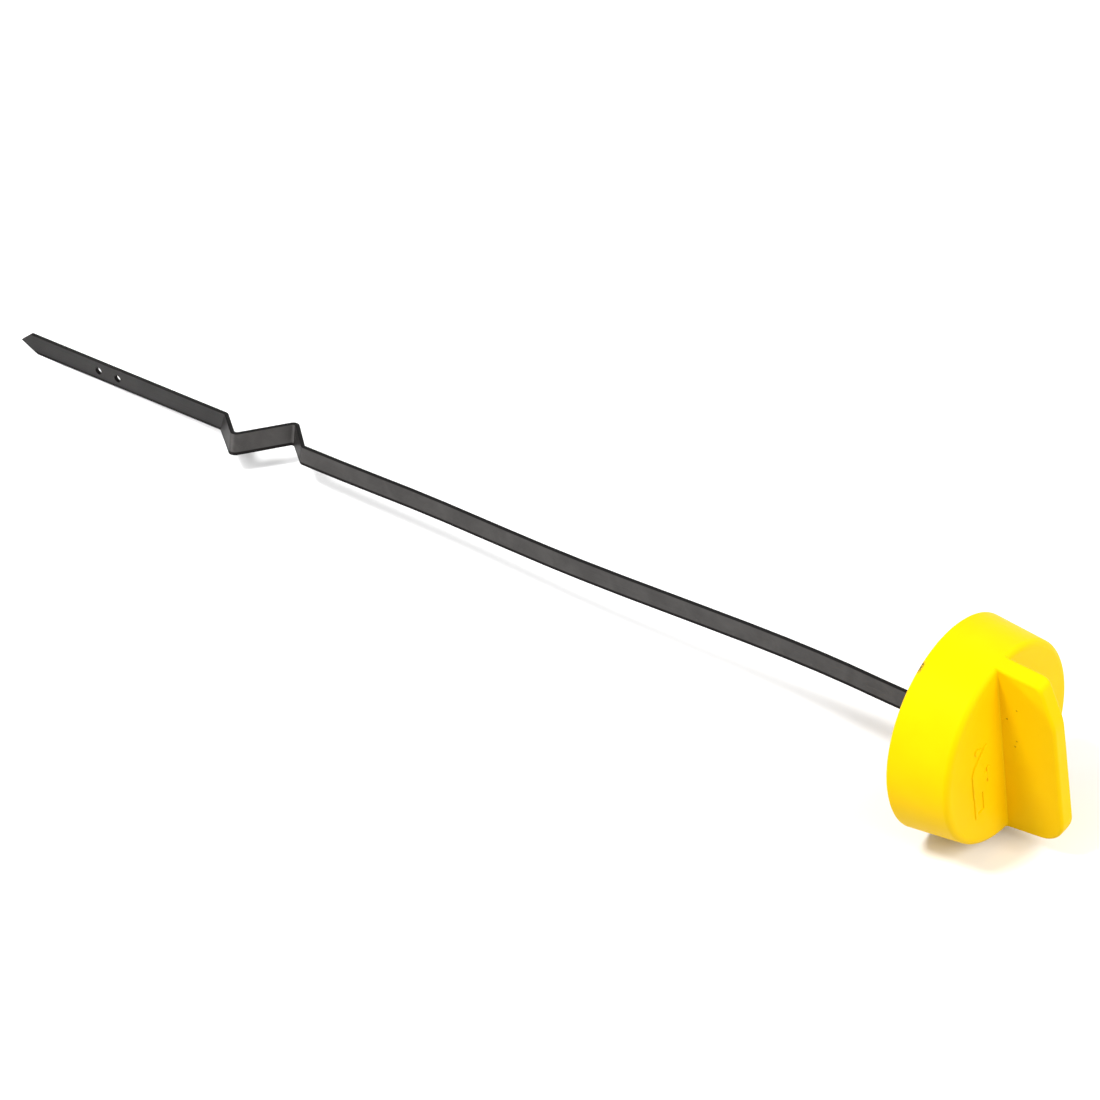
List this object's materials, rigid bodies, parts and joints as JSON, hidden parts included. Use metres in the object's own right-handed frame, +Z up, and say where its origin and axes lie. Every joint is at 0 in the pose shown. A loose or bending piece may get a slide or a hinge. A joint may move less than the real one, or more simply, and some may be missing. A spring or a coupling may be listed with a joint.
{
  "type": "engine oil dipstick",
  "caption": "Engine oil dipstick: flat steel blade with a zigzag kink, gauge holes and a pointed tip, in a round yellow plastic cap with a grip wing and a sealed spigot.",
  "frame": {"origin": "on the floor, under the middle of the whole dipstick as it lies", "axes": "+X from the tip to the cap, +Z up, -Y towards the side that the picture shows"},
  "size_m": [0.3055, 0.049, 0.0488],
  "materials": {
    "blade_steel": "dark rolled steel, satin",
    "cap_plastic": "moulded yellow plastic, satin",
    "washer_rubber": "matt black rubber"
  },
  "bodies": {
    "root": {"blade": "blade_steel", "cap": "cap_plastic", "seal_washer": "washer_rubber"}
  },
  "joints": []
}
